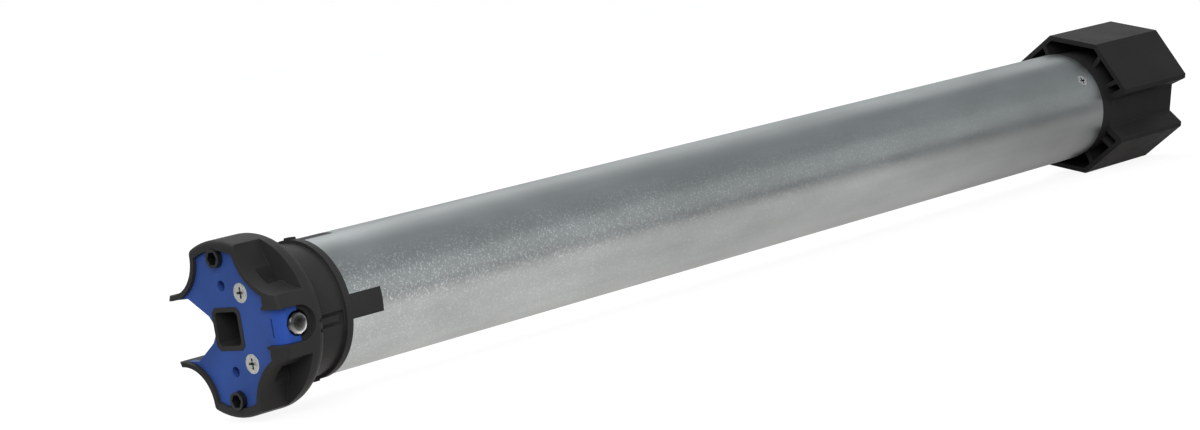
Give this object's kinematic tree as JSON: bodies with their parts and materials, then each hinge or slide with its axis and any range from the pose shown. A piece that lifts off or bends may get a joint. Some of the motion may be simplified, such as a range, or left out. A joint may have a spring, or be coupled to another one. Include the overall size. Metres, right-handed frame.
{
  "type": "tubular roller blind motor",
  "caption": "Tubular motor for a roller blind: a star-shaped fixed head with a blue face plate, a zinc-plated steel tube and an octagonal drive wheel.",
  "frame": {"origin": "on the tube's axis at the front of the head's face plate, midway between the two mounting holes", "axes": "+X along the tube from the head to the drive wheel, +Z from the lower to the upper mounting hole, -Y towards the catch"},
  "size_m": [0.5159, 0.06, 0.06],
  "materials": {
    "black_plastic": "fine-textured moulded",
    "wheel_plastic": "moulded, slight sheen",
    "blue_plastic": "moulded",
    "zinc_steel": "zinc plated, fine spangle",
    "screw_steel": "zinc plated, bright",
    "polished_steel": "polished",
    "spring_steel": "drawn",
    "lamination": "stacked laminations",
    "ground_steel": "ground",
    "cast_alloy": "die cast",
    "rotor_alloy": "cast",
    "sintered_bronze": "sintered",
    "brass": "turned",
    "copper_wire": "enamelled winding",
    "lead_insulation": "insulation",
    "motor_insulation": "insulation",
    "grey_plastic": "moulded",
    "dark_plastic": "moulded",
    "board": "solder-masked laminate",
    "natural_plastic": "self-lubricating moulded",
    "capacitor_case": "moulded can",
    "friction_lining": "brake lining"
  },
  "bodies": {
    "motor": {"head_housing": "black_plastic", "face_plate": "blue_plastic", "square_sleeve": "black_plastic", "plate_screws": "screw_steel", "cable_inlet": "dark_plastic", "inlet_contacts": "brass", "inlet_leads": "lead_insulation", "board_plug": "natural_plastic", "catch_spring": "spring_steel", "limit_frame": "grey_plastic", "limit_board": "board", "limit_switches": "dark_plastic", "motor_tube": "zinc_steel", "tube_screws": "screw_steel", "capacitor": "capacitor_case", "capacitor_collars": "dark_plastic", "motor_leads": "motor_insulation", "rear_end_shield": "cast_alloy", "front_end_shield": "cast_alloy", "rear_bush": "sintered_bronze", "front_bush": "sintered_bronze", "stator_core": "lamination", "stator_windings": "copper_wire", "brake_case": "dark_plastic", "brake_lining": "friction_lining", "gearbox_front_plate": "cast_alloy", "ring_gear": "cast_alloy", "output_bush": "sintered_bronze", "gearbox_plug": "cast_alloy"},
    "drive": {"output_carrier": "ground_steel", "planet_pins": "ground_steel", "output_shaft": "ground_steel", "drive_wheel": "wheel_plastic", "wheel_clip": "spring_steel"},
    "second_carrier": {"carrier_2": "ground_steel"},
    "first_carrier": {"carrier_1": "ground_steel"},
    "rotor": {"rotor_core": "lamination", "rotor_end_rings": "rotor_alloy", "rotor_shaft": "ground_steel", "rotor_pinion": "brass", "brake_spring": "spring_steel"},
    "brake_disc": {"brake_disc": "ground_steel"},
    "catch": {"catch_pin": "polished_steel"},
    "setting_socket_top": {"limit_socket_top": "dark_plastic"},
    "setting_socket_bottom": {"limit_socket_bottom": "dark_plastic"},
    "setting_rod_top": {"limit_rod_top": "brass"},
    "setting_rod_bottom": {"limit_rod_bottom": "brass"},
    "setting_nut_top": {"limit_nut_top": "natural_plastic"},
    "setting_nut_bottom": {"limit_nut_bottom": "natural_plastic"},
    "planet_1a": {"planet_1a": "natural_plastic"},
    "planet_1b": {"planet_1b": "natural_plastic"},
    "planet_1c": {"planet_1c": "natural_plastic"},
    "planet_2a": {"planet_2a": "natural_plastic"},
    "planet_2b": {"planet_2b": "natural_plastic"},
    "planet_2c": {"planet_2c": "natural_plastic"},
    "planet_3a": {"planet_3a": "natural_plastic"},
    "planet_3b": {"planet_3b": "natural_plastic"},
    "planet_3c": {"planet_3c": "natural_plastic"}
  },
  "joints": [
    {"name": "drive_spin", "type": "hinge", "parent": "motor", "child": "drive", "pos_m": [0.448, 0, 0], "axis": [1, 0, 0], "continuous": true},
    {"name": "carrier_2_spin", "type": "hinge", "parent": "motor", "child": "second_carrier", "pos_m": [0.4125, 0, 0], "axis": [1, 0, 0], "continuous": true},
    {"name": "carrier_1_spin", "type": "hinge", "parent": "motor", "child": "first_carrier", "pos_m": [0.3935, 0, 0], "axis": [1, 0, 0], "continuous": true},
    {"name": "rotor_spin", "type": "hinge", "parent": "motor", "child": "rotor", "pos_m": [0.288, 0, 0], "axis": [1, 0, 0], "continuous": true},
    {"name": "brake_release", "type": "slide", "parent": "rotor", "child": "brake_disc", "axis": [-1, 0, 0], "range_m": [0, 0.0008], "stiffness_N_per_m": 1000, "springref_m": -0.002, "deforming": ["brake_spring"]},
    {"name": "catch_press", "type": "slide", "parent": "motor", "child": "catch", "axis": [0, 1, 0], "range_m": [0, 0.002], "stiffness_N_per_m": 600, "springref_m": -0.003, "deforming": ["catch_spring"]},
    {"name": "planet_3a_spin", "type": "hinge", "parent": "drive", "child": "planet_3a", "pos_m": [0.425, 0.01125, 0], "axis": [1, 0, 0], "continuous": true},
    {"name": "planet_3b_spin", "type": "hinge", "parent": "drive", "child": "planet_3b", "pos_m": [0.425, -0.00562, 0.00974], "axis": [1, 0, 0], "continuous": true},
    {"name": "planet_3c_spin", "type": "hinge", "parent": "drive", "child": "planet_3c", "pos_m": [0.425, -0.00562, -0.00974], "axis": [1, 0, 0], "continuous": true},
    {"name": "planet_2a_spin", "type": "hinge", "parent": "second_carrier", "child": "planet_2a", "pos_m": [0.403, 0.01125, 0], "axis": [1, 0, 0], "continuous": true},
    {"name": "planet_2b_spin", "type": "hinge", "parent": "second_carrier", "child": "planet_2b", "pos_m": [0.403, -0.00562, 0.00974], "axis": [1, 0, 0], "continuous": true},
    {"name": "planet_2c_spin", "type": "hinge", "parent": "second_carrier", "child": "planet_2c", "pos_m": [0.403, -0.00562, -0.00974], "axis": [1, 0, 0], "continuous": true},
    {"name": "planet_1a_spin", "type": "hinge", "parent": "first_carrier", "child": "planet_1a", "pos_m": [0.386, 0.01125, 0], "axis": [1, 0, 0], "continuous": true},
    {"name": "planet_1b_spin", "type": "hinge", "parent": "first_carrier", "child": "planet_1b", "pos_m": [0.386, -0.00562, 0.00974], "axis": [1, 0, 0], "continuous": true},
    {"name": "planet_1c_spin", "type": "hinge", "parent": "first_carrier", "child": "planet_1c", "pos_m": [0.386, -0.00562, -0.00974], "axis": [1, 0, 0], "continuous": true},
    {"name": "limit_nut_top_move", "type": "slide", "parent": "motor", "child": "setting_nut_top", "axis": [1, 0, 0], "range_m": [-0.005, 0.005]},
    {"name": "limit_set_top", "type": "hinge", "parent": "motor", "child": "setting_socket_top", "pos_m": [0, 0, 0.0228], "axis": [1, 0, 0], "range_deg": [-1805, 1805]},
    {"name": "limit_rod_top_spin", "type": "hinge", "parent": "motor", "child": "setting_rod_top", "pos_m": [0.03, 0.00458, 0.01805], "axis": [1, 0, 0], "range_deg": [-1805, 1805]},
    {"name": "limit_nut_bottom_move", "type": "slide", "parent": "motor", "child": "setting_nut_bottom", "axis": [1, 0, 0], "range_m": [-0.005, 0.005]},
    {"name": "limit_set_bottom", "type": "hinge", "parent": "motor", "child": "setting_socket_bottom", "pos_m": [0, 0, -0.0228], "axis": [1, 0, 0], "range_deg": [-1805, 1805]},
    {"name": "limit_rod_bottom_spin", "type": "hinge", "parent": "motor", "child": "setting_rod_bottom", "pos_m": [0.03, 0.00458, -0.01805], "axis": [1, 0, 0], "range_deg": [-1805, 1805]}
  ],
  "couplings": [
    {"joint": "carrier_2_spin", "follows": "drive_spin", "ratio": 5},
    {"joint": "carrier_1_spin", "follows": "drive_spin", "ratio": 25},
    {"joint": "rotor_spin", "follows": "drive_spin", "ratio": 125},
    {"joint": "planet_3a_spin", "follows": "drive_spin", "ratio": -2.6667},
    {"joint": "planet_3b_spin", "follows": "drive_spin", "ratio": -2.6667},
    {"joint": "planet_3c_spin", "follows": "drive_spin", "ratio": -2.6667},
    {"joint": "planet_2a_spin", "follows": "drive_spin", "ratio": -13.333},
    {"joint": "planet_2b_spin", "follows": "drive_spin", "ratio": -13.333},
    {"joint": "planet_2c_spin", "follows": "drive_spin", "ratio": -13.333},
    {"joint": "planet_1a_spin", "follows": "drive_spin", "ratio": -66.667},
    {"joint": "planet_1b_spin", "follows": "drive_spin", "ratio": -66.667},
    {"joint": "planet_1c_spin", "follows": "drive_spin", "ratio": -66.667},
    {"joint": "limit_set_top", "follows": "limit_nut_top_move", "rad_per_m": 6283.2},
    {"joint": "limit_rod_top_spin", "follows": "limit_nut_top_move", "rad_per_m": -6283.2},
    {"joint": "limit_set_bottom", "follows": "limit_nut_bottom_move", "rad_per_m": 6283.2},
    {"joint": "limit_rod_bottom_spin", "follows": "limit_nut_bottom_move", "rad_per_m": -6283.2}
  ]
}
